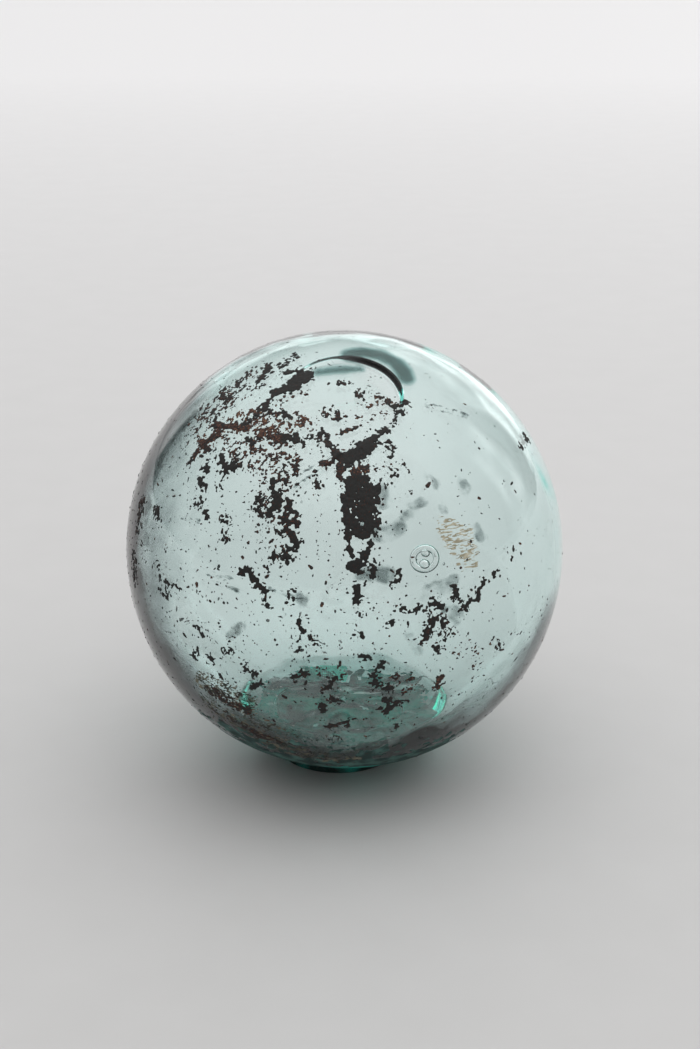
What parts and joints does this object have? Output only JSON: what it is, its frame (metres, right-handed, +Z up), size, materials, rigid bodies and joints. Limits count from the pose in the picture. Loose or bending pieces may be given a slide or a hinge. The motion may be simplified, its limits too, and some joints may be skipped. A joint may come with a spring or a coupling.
{
  "type": "glass fishing float",
  "caption": "Small hand-blown glass ball float in pale aqua, standing on its flat pressed seal, with a shallow round dish pressed into its upper front and a thin crease running down from the dish's corner.",
  "frame": {"origin": "on the surface that the ball stands on, straight under the middle of the ball", "axes": "+Z up through the ball from its seal, -Y towards the front, where the round dish and its crease are, +X to the right as seen from the front"},
  "size_m": [0.0998, 0.1002, 0.1002],
  "materials": {
    "aqua_glass": "smooth clear pale aqua bottle glass with seeds and ripples, crusted with black and rust-brown deposits"
  },
  "bodies": {
    "root": {"glass_float": "aqua_glass"}
  },
  "joints": []
}
